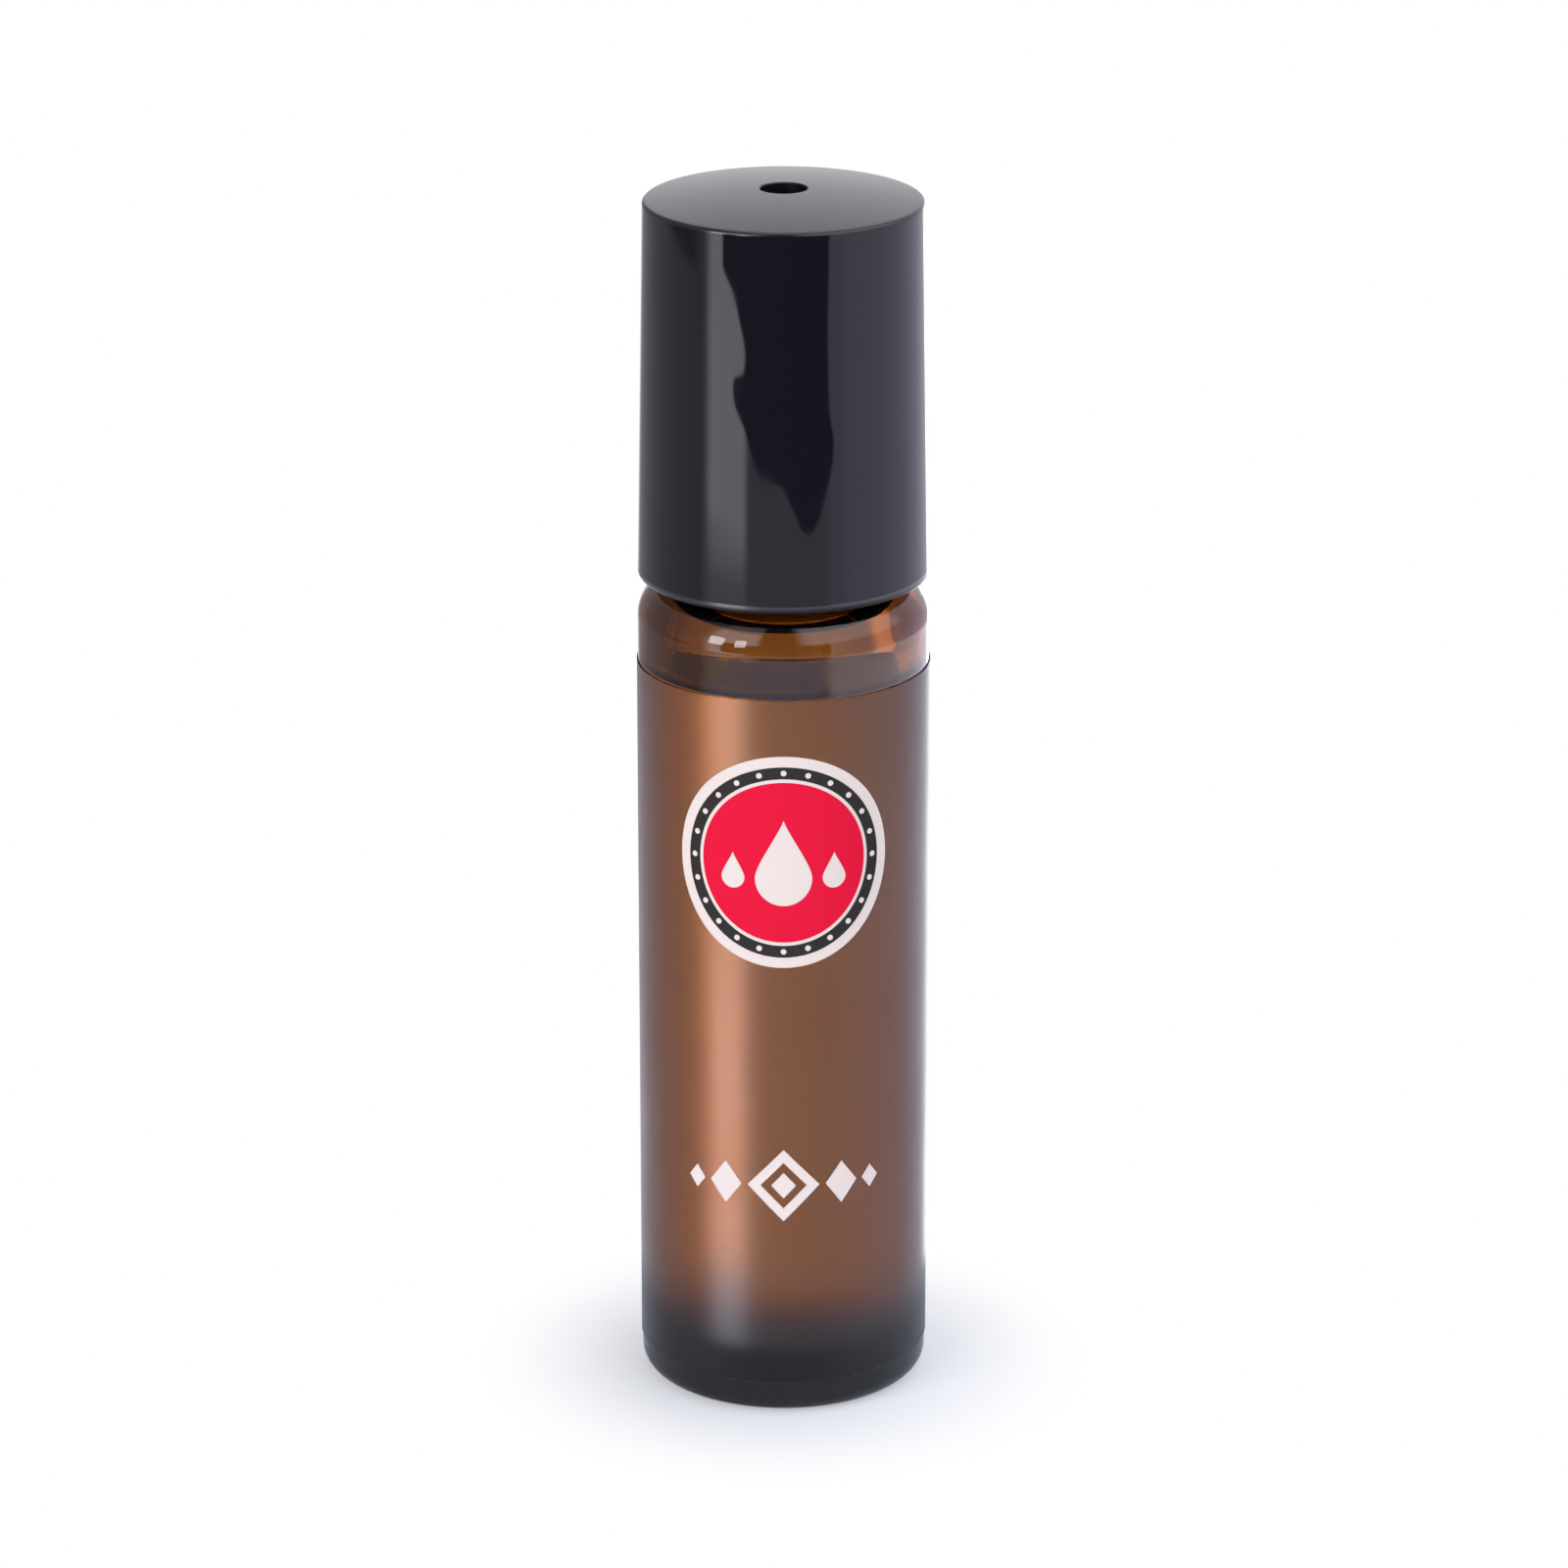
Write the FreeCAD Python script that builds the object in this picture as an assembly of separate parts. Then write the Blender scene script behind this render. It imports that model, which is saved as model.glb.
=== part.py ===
import FreeCAD, Part
import math
import os

from FreeCAD import Vector

# Roll-on bottle of 10 ml: an amber glass bottle with a thick base and a screw neck, a plastic
# roller housing pushed into the neck, a steel ball, a screw cap with its seal insert, a clear
# satin wrap label and the oil inside. Millimetres. The origin is the centre of the circle that
# the bottle stands on, +Z is up its axis, and the front of the label faces -Y.

# Glass body
body_dia = 20.0
body_wall = 2.05
body_straight_height = 55.6
base_thickness = 3.3
heel_radius = 1.45
floor_corner_radius = 2.5
standing_ring_width = 2.05
punt_depth = 0.6
shoulder_radius = 2.7
shoulder_wall = 2.18
ceiling_ledge_set_in = 0.75
throat_width = 0.85
throat_rise = 0.57

# Glass neck and its thread, one right-hand ridge
neck_wall = 1.8
neck_height = 12.2
lip_radius = 0.5
thread_pitch = 3.0
thread_turns = 1.25
thread_depth = 0.9
thread_root_width = 1.5
thread_crest_width = 0.7
thread_rise = 2.5
thread_sink = 0.35
thread_fade_share = 0.12
thread_sections_a_turn = 24

# Roller ball and the housing that holds it
ball_bore_gap = 0.5
ball_rise_share = 0.42
ball_clearance = 0.06
barrel_length = 8.5
barrel_clearance = 0.15
barrel_wall = 1.15
seal_bead_clearance = 0.02
seal_bead_width = 0.8
seal_bead_spacing = 1.9
seal_bead_count = 3
housing_flange_set_in = 0.4
housing_flange_thickness = 1.1
housing_flange_edge_radius = 0.35
collar_wall = 1.34
collar_shoulder_radius = 1.5
crown_land = 0.37
retaining_angle = 30.0
seat_angle = 61.0
seat_floor_thickness = 1.0
feed_slot_width = 1.1
feed_slot_length = 1.9
feed_slot_height = 2.6
feed_slot_count = 4

# Screw cap
cap_gap = 0.4
ball_headroom = 3.7
cap_foot_set_in = 0.03
cap_taper = 0.44
cap_dome_rise = 0.82
cap_rim_radius = 0.3
cap_foot_radius = 0.4
cap_crown_thickness = 1.75
cap_bore_step = 0.5
cap_thread_bore_depth = 8.0
cap_thread_clearance = 0.2
gate_dia = 3.2
gate_depth = 1.1
gate_stub_dia = 0.9
gate_stub_height = 0.35
snap_bead_depth = 0.3
snap_bead_width = 0.7

# Seal insert inside the cap
insert_thickness = 1.5
insert_clearance = 0.1
insert_tube_set_out = 0.22
insert_tube_wall = 1.2
insert_seat_clearance = 0.1

# Wrap label
label_foot = 2.5
label_top_gap = 3.1
label_thickness = 0.08
label_overlap = 3.0

# Oil
oil_headspace = 4.17
oil_gap = 0.02
meniscus_width = 1.1
meniscus_rise = 0.7

# Points of an outline that lie nearer than this are one point
same_place = 0.000001

# Places that more than one piece uses
body_radius = body_dia / 2
cavity_radius = body_radius - body_wall
neck_radius = body_radius - shoulder_radius
neck_bore_radius = neck_radius - neck_wall
shoulder_top = body_straight_height + shoulder_radius
cavity_ceiling = shoulder_top - shoulder_wall
lip_height = shoulder_top + neck_height
thread_start = shoulder_top + thread_rise
ball_radius = neck_bore_radius - ball_bore_gap
ball_height = lip_height + ball_rise_share * ball_radius
socket_radius = ball_radius + ball_clearance
mouth_radius = socket_radius * math.cos(math.radians(retaining_angle))
mouth_height = ball_height + socket_radius * math.sin(math.radians(retaining_angle))
crown_height = mouth_height + crown_land
cap_foot = shoulder_top + cap_gap
insert_foot = ball_height + ball_radius + ball_headroom
cap_ceiling = insert_foot + insert_thickness + insert_clearance
cap_rim = cap_ceiling + cap_crown_thickness
cap_thread_bore_radius = neck_radius + thread_depth + cap_thread_clearance
cap_upper_bore_radius = cap_thread_bore_radius - cap_bore_step


def at(radius, height):
    """A point of a half section: its distance from the axis and its height."""
    return Vector(radius, 0, height)


def arc(centre, radius, start_angle, end_angle):
    """An arc of a half section as its start, middle and end points."""
    angles = [start_angle, (start_angle + end_angle) / 2, end_angle]
    turns = [math.radians(angle) for angle in angles]
    return tuple(centre + at(radius * math.cos(turn), radius * math.sin(turn)) for turn in turns)


def outline(steps):
    """A closed wire through points and arcs, with straight edges between them."""
    edges = []
    first = steps[0][0] if isinstance(steps[0], tuple) else steps[0]
    last = first
    for step in steps + [first]:
        start = step[0] if isinstance(step, tuple) else step
        if last.distanceToPoint(start) > same_place:
            edges.append(Part.LineSegment(last, start).toShape())
        last = start
        if isinstance(step, tuple):
            edges.append(Part.Arc(*step).toShape())
            last = step[2]
    return Part.Wire(edges)


def turned(steps):
    """A solid of revolution about the bottle's axis from its half section."""
    return Part.Face(outline(steps)).revolve(Vector(0, 0, 0), Vector(0, 0, 1), 360)


def ridge(surface_radius, outward, start_height):
    """A thread ridge on a round wall, which fades into the wall at both ends.

    outward is 1 for a ridge on the outside of a neck and -1 for one inside a cap.
    """
    sections = []
    count = round(thread_turns * thread_sections_a_turn)
    for number in range(count + 1):
        share = number / count
        grown = min(1, share / thread_fade_share, (1 - share) / thread_fade_share)
        turn = 2 * math.pi * thread_turns * share
        height = start_height + thread_pitch * thread_turns * share
        corners = []
        for reach, side in [(-1, -1), (grown, -1), (grown, 1), (-1, 1)]:
            above_wall = -thread_sink if reach < 0 else thread_depth * reach
            taper = (thread_root_width - thread_crest_width) * above_wall / thread_depth
            radius = surface_radius + outward * above_wall
            half_width = (thread_root_width - taper) / 2
            corners.append(
                Vector(radius * math.cos(turn), radius * math.sin(turn), height + side * half_width)
            )
        sections.append(Part.makePolygon(corners + corners[:1]))
    return Part.makeLoft(sections, True, False)


def glass_bottle():
    """Moulded bottle: heavy base with a punt, straight wall, round shoulder and threaded neck."""
    punt_radius = body_radius - heel_radius - standing_ring_width
    punt_rise = at(0, punt_depth)
    floor_centre = at(cavity_radius - floor_corner_radius, base_thickness + floor_corner_radius)
    # The cavity's round shoulder ends at a narrow ledge, and the throat leads up from the ledge
    inner_arc_radius = cavity_radius - neck_bore_radius
    ledge_turn = math.acos((inner_arc_radius - ceiling_ledge_set_in) / inner_arc_radius)
    inner_centre = at(neck_bore_radius, cavity_ceiling - inner_arc_radius * math.sin(ledge_turn))
    punt_middle = at(punt_radius / 2, punt_depth * 3 / 4)
    body = turned(
        [
            (punt_rise, punt_middle, at(punt_radius, 0)),
            arc(at(body_radius - heel_radius, heel_radius), heel_radius, -90, 0),
            arc(at(body_radius - shoulder_radius, body_straight_height), shoulder_radius, 0, 90),
            at(neck_radius, shoulder_top),
            arc(at(neck_radius - lip_radius, lip_height - lip_radius), lip_radius, 0, 90),
            arc(at(neck_bore_radius + lip_radius, lip_height - lip_radius), lip_radius, 90, 180),
            at(neck_bore_radius, cavity_ceiling + throat_rise),
            at(neck_bore_radius + throat_width, cavity_ceiling),
            arc(inner_centre, inner_arc_radius, math.degrees(ledge_turn), 0),
            arc(floor_centre, floor_corner_radius, 0, -90),
            at(0, base_thickness),
        ]
    )
    return body.fuse(ridge(neck_radius, 1, thread_start)).removeSplitter()


def roller_ball():
    """Polished steel ball, free to roll in its housing."""
    return Part.makeSphere(ball_radius, at(0, ball_height))


def roller_housing():
    """Moulded plug: ribbed barrel in the neck, flange on the lip and a collar round the ball."""
    barrel_radius = neck_bore_radius - barrel_clearance
    bead_radius = neck_bore_radius - seal_bead_clearance
    barrel_foot = lip_height - barrel_length
    flange_radius = neck_radius - housing_flange_set_in
    flange_top = lip_height + housing_flange_thickness
    collar_radius = socket_radius + collar_wall
    ball_centre = at(0, ball_height)
    hole_radius = socket_radius * math.cos(math.radians(seat_angle))
    seat_edge = ball_height - socket_radius * math.sin(math.radians(seat_angle))
    core_radius = barrel_radius - barrel_wall
    floor_foot = seat_edge - seat_floor_thickness

    beads = []
    for number in range(seal_bead_count):
        middle = barrel_foot + seal_bead_spacing * (number + 1)
        foot = at(barrel_radius, middle - seal_bead_width / 2)
        top = at(barrel_radius, middle + seal_bead_width / 2)
        beads.append((foot, at(bead_radius, middle), top))

    edge_radius = housing_flange_edge_radius
    edge_centre = at(flange_radius - edge_radius, flange_top - edge_radius)
    collar_centre = at(collar_radius - collar_shoulder_radius, crown_height - collar_shoulder_radius)
    housing = turned(
        [at(core_radius, barrel_foot), at(barrel_radius, barrel_foot)]
        + beads
        + [
            at(barrel_radius, lip_height),
            at(flange_radius, lip_height),
            arc(edge_centre, edge_radius, 0, 90),
            at(collar_radius, flange_top),
            arc(collar_centre, collar_shoulder_radius, 0, 90),
            at(mouth_radius, crown_height),
            arc(ball_centre, socket_radius, retaining_angle, -seat_angle),
            at(hole_radius, floor_foot),
            at(core_radius, floor_foot),
        ]
    )
    # Slots in the seat let the oil past the ball. Each starts a slot's width inside its hole and
    # below its floor, where there is nothing to cut.
    slot_reach = feed_slot_width + feed_slot_length
    slot_rise = feed_slot_width + feed_slot_height
    slot_side = -feed_slot_width / 2
    slot_corner = Vector(hole_radius - feed_slot_width, slot_side, floor_foot - feed_slot_width)
    for number in range(feed_slot_count):
        slot = Part.makeBox(slot_reach, feed_slot_width, slot_rise, slot_corner)
        slot.rotate(Vector(0, 0, 0), Vector(0, 0, 1), 360 * number / feed_slot_count)
        housing = housing.cut(slot)
    return housing


def cap_shell():
    """Moulded cap: slightly tapered skirt, low domed top with its gate recess, inside thread."""
    foot_radius = body_radius - cap_foot_set_in
    rim_radius = foot_radius - cap_taper
    gate_radius = gate_dia / 2
    stub_radius = gate_stub_dia / 2
    # Radius of the sphere that the low dome is part of
    dome_radius = (rim_radius ** 2 + cap_dome_rise ** 2) / (2 * cap_dome_rise)
    dome_centre = at(0, cap_rim + cap_dome_rise - dome_radius)

    def dome_height(radius):
        return dome_centre.z + math.sqrt(dome_radius ** 2 - radius ** 2)

    # The round edge between the dome and the skirt starts where the dome has come down to it
    dome_end = rim_radius - cap_rim_radius
    dome_middle = (gate_radius + dome_end) / 2
    edge_turn = math.radians(45)
    edge_middle = at(
        rim_radius - cap_rim_radius * (1 - math.cos(edge_turn)),
        dome_height(dome_end) - cap_rim_radius * (1 - math.sin(edge_turn)),
    )
    foot_centre = at(foot_radius - cap_foot_radius, cap_foot + cap_foot_radius)
    gate_floor = cap_rim + cap_dome_rise - gate_depth
    thread_bore_top = cap_foot + cap_thread_bore_depth
    bead_top = insert_foot - insert_clearance
    bead_middle = bead_top - snap_bead_width / 2
    snap_bead = (
        at(cap_upper_bore_radius, bead_top),
        at(cap_upper_bore_radius - snap_bead_depth, bead_middle),
        at(cap_upper_bore_radius, bead_top - snap_bead_width),
    )
    shell = turned(
        [
            at(0, gate_floor + gate_stub_height),
            at(stub_radius, gate_floor + gate_stub_height),
            at(stub_radius, gate_floor),
            at(gate_radius, gate_floor),
            (
                at(gate_radius, dome_height(gate_radius)),
                at(dome_middle, dome_height(dome_middle)),
                at(dome_end, dome_height(dome_end)),
            ),
            (
                at(dome_end, dome_height(dome_end)),
                edge_middle,
                at(rim_radius, dome_height(dome_end) - cap_rim_radius),
            ),
            arc(foot_centre, cap_foot_radius, 0, -90),
            at(cap_thread_bore_radius, cap_foot),
            at(cap_thread_bore_radius, thread_bore_top),
            at(cap_upper_bore_radius, thread_bore_top + cap_bore_step),
            snap_bead[::-1],
            at(cap_upper_bore_radius, cap_ceiling),
            at(0, cap_ceiling),
        ]
    )
    # The cap's ridge bears on the underside of the neck's ridge when the cap is tight
    flank_share = (thread_depth - cap_thread_clearance) / thread_depth
    taper = (thread_root_width - thread_crest_width) * flank_share
    ridge_drop = thread_root_width - taper / 2 + cap_thread_clearance
    inner_ridge = ridge(cap_thread_bore_radius, -1, thread_start - ridge_drop)
    return shell.fuse(inner_ridge).removeSplitter()


def seal_insert():
    """Moulded disc under the cap's top, with a tube that presses on the housing's crown."""
    disc_radius = cap_upper_bore_radius - insert_clearance
    tube_bore_radius = mouth_radius + insert_tube_set_out
    tube_radius = tube_bore_radius + insert_tube_wall
    disc_top = cap_ceiling - insert_clearance
    tube_foot = crown_height + insert_seat_clearance
    return turned(
        [
            at(0, insert_foot),
            at(tube_bore_radius, insert_foot),
            at(tube_bore_radius, tube_foot),
            at(tube_radius, tube_foot),
            at(tube_radius, insert_foot),
            at(disc_radius, insert_foot),
            at(disc_radius, disc_top),
            at(0, disc_top),
        ]
    )


def wrap_label():
    """Printed film wrapped once round the straight wall, its end lapped over at the back."""
    label_radius = body_radius + label_thickness
    lap_radius = label_radius + label_thickness
    label_top = body_straight_height - label_top_gap
    label_height = label_top - label_foot
    film = turned(
        [
            at(body_radius, label_foot),
            at(label_radius, label_foot),
            at(label_radius, label_top),
            at(body_radius, label_top),
        ]
    )
    lap_angle = math.degrees(label_overlap / label_radius)
    outer = Part.makeCylinder(lap_radius, label_height, at(0, label_foot), Vector(0, 0, 1), lap_angle)
    inner = Part.makeCylinder(body_radius + label_thickness / 2, label_height, at(0, label_foot))
    lap = outer.cut(inner)
    lap.rotate(Vector(0, 0, 0), Vector(0, 0, 1), 90)
    return film.fuse(lap).removeSplitter()


def oil_fill():
    """The oil, which wets the glass and climbs it a little at its edge."""
    oil_radius = cavity_radius - oil_gap
    oil_foot = base_thickness + oil_gap
    corner_radius = floor_corner_radius - oil_gap
    corner_centre = at(cavity_radius - floor_corner_radius, base_thickness + floor_corner_radius)
    level = cavity_ceiling - oil_headspace
    # The meniscus is a quarter of an ellipse, drawn as an arc through its middle point
    sag = math.radians(45)
    meniscus_middle = at(
        oil_radius - meniscus_width * (1 - math.sin(sag)),
        level + meniscus_rise * (1 - math.cos(sag)),
    )
    return turned(
        [
            at(0, oil_foot),
            arc(corner_centre, corner_radius, -90, 0),
            (
                at(oil_radius, level + meniscus_rise),
                meniscus_middle,
                at(oil_radius - meniscus_width, level),
            ),
            at(0, level),
        ]
    )


pieces = [glass_bottle, wrap_label, oil_fill, roller_housing, roller_ball, seal_insert, cap_shell]
for piece in pieces:
    solid = piece()
    solid.exportStep("parts/" + piece.__name__ + ".step")
    print(piece.__name__, "volume", round(solid.Volume), "valid", solid.isValid())
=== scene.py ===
import math

import bpy
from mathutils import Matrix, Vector


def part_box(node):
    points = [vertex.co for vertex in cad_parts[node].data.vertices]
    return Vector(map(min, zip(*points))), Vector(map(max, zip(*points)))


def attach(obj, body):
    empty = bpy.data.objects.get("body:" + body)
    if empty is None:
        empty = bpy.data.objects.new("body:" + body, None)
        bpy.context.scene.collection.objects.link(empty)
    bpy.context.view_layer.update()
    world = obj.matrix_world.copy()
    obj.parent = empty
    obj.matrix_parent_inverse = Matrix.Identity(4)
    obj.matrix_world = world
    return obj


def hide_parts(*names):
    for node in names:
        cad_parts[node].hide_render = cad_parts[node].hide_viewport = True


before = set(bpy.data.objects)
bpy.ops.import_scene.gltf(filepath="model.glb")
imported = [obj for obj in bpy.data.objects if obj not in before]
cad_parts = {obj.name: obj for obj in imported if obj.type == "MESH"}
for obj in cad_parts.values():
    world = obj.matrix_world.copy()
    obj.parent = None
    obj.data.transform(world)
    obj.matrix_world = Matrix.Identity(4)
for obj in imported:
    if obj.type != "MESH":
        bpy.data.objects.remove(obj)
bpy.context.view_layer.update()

# The bottle
# One piece of amber soda-lime glass, moulded: a heavy base with a shallow punt, a straight wall,
# a round shoulder and a neck with one thread ridge. Its outline is a half section in radius and
# height, drawn with a point and spun about the bottle's axis.
mm = 0.001
glass_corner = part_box("glass_bottle")[1]
body_radius = glass_corner.x
lip_height = glass_corner.z
body_wall = 2.05 * mm
neck_wall = 1.8 * mm
neck_height = 12.2 * mm
shoulder_radius = 2.7 * mm
shoulder_wall = 2.18 * mm
ceiling_ledge_set_in = 0.75 * mm
neck_foot_fillet = 0.3 * mm
lip_radius = 0.5 * mm
throat_width = 0.85 * mm
throat_rise = 0.57 * mm
base_thickness = 3.3 * mm
floor_corner_radius = 2.5 * mm
heel_radius = 1.45 * mm
standing_ring_width = 2.05 * mm
punt_depth = 0.6 * mm
cavity_radius = body_radius - body_wall
neck_radius = body_radius - shoulder_radius
neck_bore_radius = neck_radius - neck_wall
shoulder_top = lip_height - neck_height
cavity_ceiling = shoulder_top - shoulder_wall
label_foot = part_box("wrap_label")[0].z
label_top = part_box("wrap_label")[1].z
meniscus_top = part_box("oil_fill")[1].z
steps_round = 192
same_place = 0.0002 * mm
# A straight wall has one more ring this near its round end, so that its shading stays straight
ring_gap = 0.3 * mm


def point(radius, height):
    """A point of a half section, on the +X side of the axis."""
    return Vector((radius, 0, height))


def arc(centre, radius, start_angle, end_angle, steps):
    """Points of a round stretch of a half section; the angles are in degrees."""
    turns = [
        math.radians(start_angle + (end_angle - start_angle) * step / steps)
        for step in range(steps + 1)
    ]
    return [centre + point(radius * math.cos(turn), radius * math.sin(turn)) for turn in turns]


def start_from_a_point(name, place):
    """A new mesh in edit mode that holds one selected point."""
    bpy.ops.object.select_all(action="DESELECT")
    bpy.ops.mesh.primitive_circle_add(vertices=3, radius=mm)
    piece = bpy.context.object
    piece.name = name
    piece.data.name = name
    bpy.ops.object.mode_set(mode="EDIT")
    bpy.ops.mesh.select_all(action="SELECT")
    bpy.ops.mesh.merge(type="CENTER")
    bpy.ops.transform.translate(value=place)
    return piece


def turned(name, section):
    """A closed solid of revolution about the bottle's axis from its half section."""
    piece = start_from_a_point(name, section[0])
    for start, end in zip(section, section[1:]):
        bpy.ops.mesh.extrude_vertices_move(TRANSFORM_OT_translate={"value": end - start})
    bpy.ops.mesh.select_all(action="SELECT")
    bpy.ops.mesh.spin(steps=steps_round, angle=math.tau, center=(0, 0, 0), axis=(0, 0, 1))
    bpy.ops.mesh.select_all(action="SELECT")
    bpy.ops.mesh.remove_doubles(threshold=same_place)
    bpy.ops.mesh.normals_make_consistent(inside=False)
    bpy.ops.object.mode_set(mode="OBJECT")
    return piece


# Two faces that meet at more than this many degrees have a real edge between them
sharp_angle = 32


def smooth(piece):
    """Smooth shading, broken where two faces meet at a real edge."""
    bpy.ops.object.select_all(action="DESELECT")
    bpy.context.view_layer.objects.active = piece
    piece.select_set(True)
    bpy.ops.object.shade_smooth_by_angle(angle=math.radians(sharp_angle))


# The ridge starts low on the neck's +X side and climbs to the right
thread_pitch = 3.0 * mm
thread_turns = 1.25
thread_depth = 0.9 * mm
thread_root_width = 1.5 * mm
thread_crest_width = 0.7 * mm
thread_rise = 2.5 * mm
thread_sink = 0.35 * mm
thread_fade_share = 0.12
thread_steps_a_turn = 96


def thread_ridge(name, wall_radius, outward, start_height):
    """A helical ridge: its section is extruded round the axis a step at a time, and it grows
    out of the wall at its start and sinks back into it at its end."""
    steps = round(thread_turns * thread_steps_a_turn)
    taper = (thread_root_width - thread_crest_width) / thread_depth
    least_share = 0.04
    corners = []
    for reach, side in [(-thread_sink, -1), (thread_depth, -1), (thread_depth, 1), (-thread_sink, 1)]:
        half_width = (thread_root_width - taper * reach) / 2
        corners.append(point(wall_radius + outward * reach, start_height + side * half_width))
    piece = start_from_a_point(name, corners[0])
    for start, end in zip(corners, corners[1:]):
        bpy.ops.mesh.extrude_vertices_move(TRANSFORM_OT_translate={"value": end - start})
    bpy.ops.mesh.select_all(action="SELECT")
    bpy.ops.mesh.edge_face_add()
    grown = 1
    for step in range(steps + 1):
        share = step / steps
        wanted = max(least_share, min(1, share / thread_fade_share, (1 - share) / thread_fade_share))
        turn = math.tau * thread_turns * share
        if step:
            bpy.ops.mesh.extrude_region_move()
            bpy.ops.transform.translate(value=(0, 0, thread_pitch * thread_turns / steps))
            # With no window this operator turns the other way, so a minus sign turns it anticlockwise
            bpy.ops.transform.rotate(
                value=-math.tau * thread_turns / steps, orient_axis="Z", center_override=(0, 0, 0)
            )
        wall = Vector((math.cos(turn), math.sin(turn), 0)) * wall_radius
        wall.z = start_height + thread_pitch * thread_turns * share
        bpy.ops.transform.resize(value=(wanted / grown,) * 3, center_override=wall)
        grown = wanted
    bpy.ops.mesh.select_all(action="SELECT")
    bpy.ops.mesh.normals_make_consistent(inside=False)
    bpy.ops.object.mode_set(mode="OBJECT")
    return piece


def join_solid(piece, extra):
    """Makes one closed solid of two that overlap."""
    bpy.ops.object.select_all(action="DESELECT")
    bpy.context.view_layer.objects.active = piece
    piece.select_set(True)
    union = piece.modifiers.new("union", "BOOLEAN")
    union.operation = "UNION"
    union.object = extra
    bpy.ops.object.modifier_apply(modifier=union.name)
    bpy.data.objects.remove(extra)


punt_radius = body_radius - heel_radius - standing_ring_width
# The punt is a low dome: the arc through its middle and its edge
punt_curve = (punt_radius ** 2 + punt_depth ** 2) / (2 * punt_depth)
punt_angle = math.degrees(math.asin(punt_radius / punt_curve))
# Inside, the shoulder's arc ends at a small ledge, from where the throat leads up into the bore
ledge_radius = cavity_radius - ceiling_ledge_set_in
inner_shoulder_radius = cavity_radius - neck_bore_radius
ledge_angle = math.degrees(math.acos((ledge_radius - neck_bore_radius) / inner_shoulder_radius))
inner_shoulder_foot = cavity_ceiling - inner_shoulder_radius * math.sin(math.radians(ledge_angle))
shoulder_centre = point(neck_radius, shoulder_top - shoulder_radius)
# A small fillet leads from the shoulder into the neck; it starts on the shoulder's arc
fillet_reach = math.sqrt((shoulder_radius + neck_foot_fillet) ** 2 - neck_foot_fillet ** 2)
fillet_centre = shoulder_centre + point(neck_foot_fillet, fillet_reach)
fillet_angle = math.degrees(math.atan2(fillet_reach, neck_foot_fillet))
floor_corner_centre = point(
    cavity_radius - floor_corner_radius, base_thickness + floor_corner_radius
)
glass_section = (
    arc(point(0, punt_depth - punt_curve), punt_curve, 90, 90 - punt_angle, 8)
    + arc(point(body_radius - heel_radius, heel_radius), heel_radius, -90, 0, 12)
    + [
        point(body_radius, heel_radius + ring_gap),
        point(body_radius, label_foot),
        point(body_radius, label_top),
        shoulder_centre + point(shoulder_radius, -ring_gap),
    ]
    + arc(shoulder_centre, shoulder_radius, 0, fillet_angle, 20)
    + arc(fillet_centre, neck_foot_fillet, fillet_angle + 180, 180, 6)
    + arc(point(neck_radius - lip_radius, lip_height - lip_radius), lip_radius, 0, 90, 8)
    + arc(point(neck_bore_radius + lip_radius, lip_height - lip_radius), lip_radius, 90, 180, 8)
    + [
        point(neck_bore_radius, cavity_ceiling + throat_rise),
        point(neck_bore_radius + throat_width, cavity_ceiling),
    ]
    + arc(point(neck_bore_radius, inner_shoulder_foot), inner_shoulder_radius, ledge_angle, 0, 12)
    + [
        point(cavity_radius, inner_shoulder_foot - ring_gap),
        point(cavity_radius, meniscus_top),
        point(cavity_radius, floor_corner_centre.z + ring_gap),
    ]
    + arc(floor_corner_centre, floor_corner_radius, 0, -90, 12)
    + [point(0, base_thickness)]
)
glass = turned("amber_bottle", glass_section)
join_solid(glass, thread_ridge("glass_thread", neck_radius, 1, shoulder_top + thread_rise))
smooth(glass)


def colour(hex_code):
    """A linear colour from an sRGB hex code."""
    parts = [int(hex_code[start:start + 2], 16) / 255 for start in (0, 2, 4)]
    return [
        part / 12.92 if part <= 0.04045 else ((part + 0.055) / 1.055) ** 2.4 for part in parts
    ] + [1]


def new_material(name):
    """An empty material and the tree of its nodes."""
    material = bpy.data.materials.new(name)
    material.use_nodes = True
    material.node_tree.nodes.clear()
    return material, material.node_tree


def add(tree, kind, settings={}, inputs={}):
    """One node with its settings; an input that is given a socket is linked to it."""
    node = tree.nodes.new(kind)
    for name, value in settings.items():
        setattr(node, name, value)
    for name, value in inputs.items():
        if isinstance(value, bpy.types.NodeSocket):
            tree.links.new(value, node.inputs[name])
        else:
            node.inputs[name].default_value = value
    return node


# Amber soda-lime glass, moulded and fire polished: clear and deep brown, with faint waves in its
# surface. Light bends and mirrors far less where oil wets it or the label's glue covers it than
# at its free faces.
glass_index = 1.52
oil_index = 1.47
film_index = 1.49
amber_glass, tree = new_material("amber soda-lime glass")
place = add(tree, "ShaderNodeTexCoord").outputs["Object"]
wave_length = 5 * mm
wave_height = 0.022 * mm
waves = add(tree, "ShaderNodeTexNoise", {}, {"Vector": place, "Scale": 1 / wave_length, "Detail": 1})
bump = add(tree, "ShaderNodeBump", {}, {"Height": waves.outputs["Fac"], "Distance": wave_height})
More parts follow.
